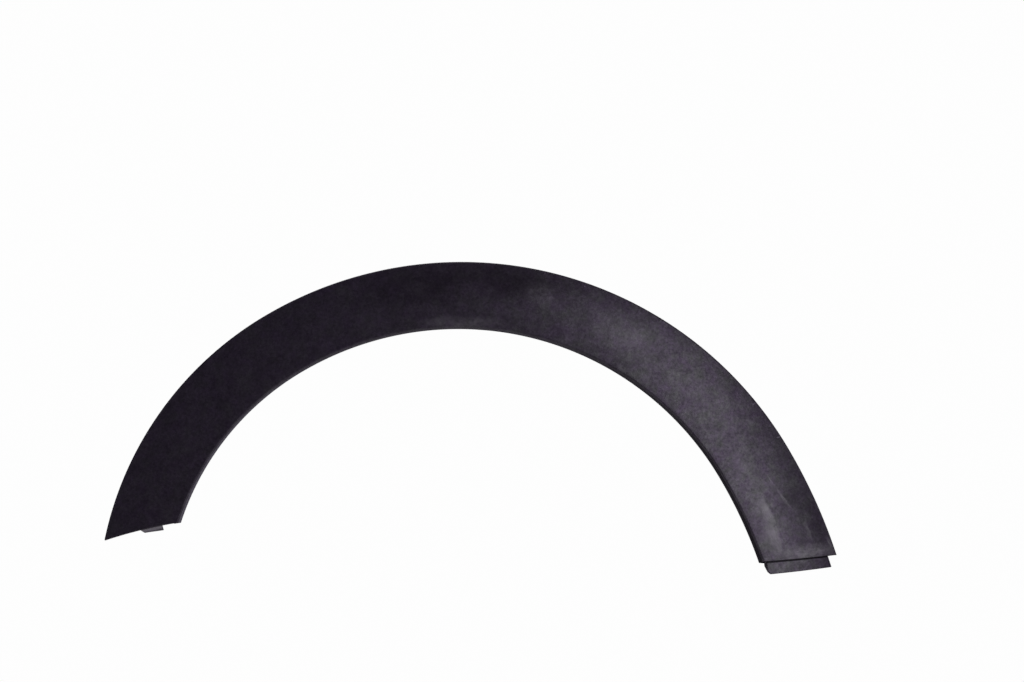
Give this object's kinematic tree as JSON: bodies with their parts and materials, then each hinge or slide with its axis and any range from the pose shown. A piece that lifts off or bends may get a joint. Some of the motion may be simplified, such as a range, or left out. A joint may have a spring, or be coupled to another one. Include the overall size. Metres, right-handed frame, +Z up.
{
  "type": "fender trim",
  "caption": "Black moulded wheel arch trim with a crowned band, a return flange, a stepped end tongue and push-in retaining clips.",
  "frame": {"origin": "root of the crown locating pin, on the plane where the trim meets the body", "axes": "+X along the car towards the tongue end, +Y into the body along the pins and clips, +Z up"},
  "size_m": [0.8188, 0.0375, 0.3495],
  "materials": {
    "trim_plastic": "fine grained, moulded in charcoal black, faded and scuffed",
    "clip_nylon": "natural nylon"
  },
  "bodies": {
    "root": {"arch_trim": "trim_plastic", "retaining_clip_1": "clip_nylon", "retaining_clip_2": "clip_nylon", "retaining_clip_3": "clip_nylon", "retaining_clip_4": "clip_nylon", "retaining_clip_5": "clip_nylon", "retaining_clip_6": "clip_nylon", "retaining_clip_7": "clip_nylon", "retaining_clip_8": "clip_nylon"}
  },
  "joints": []
}
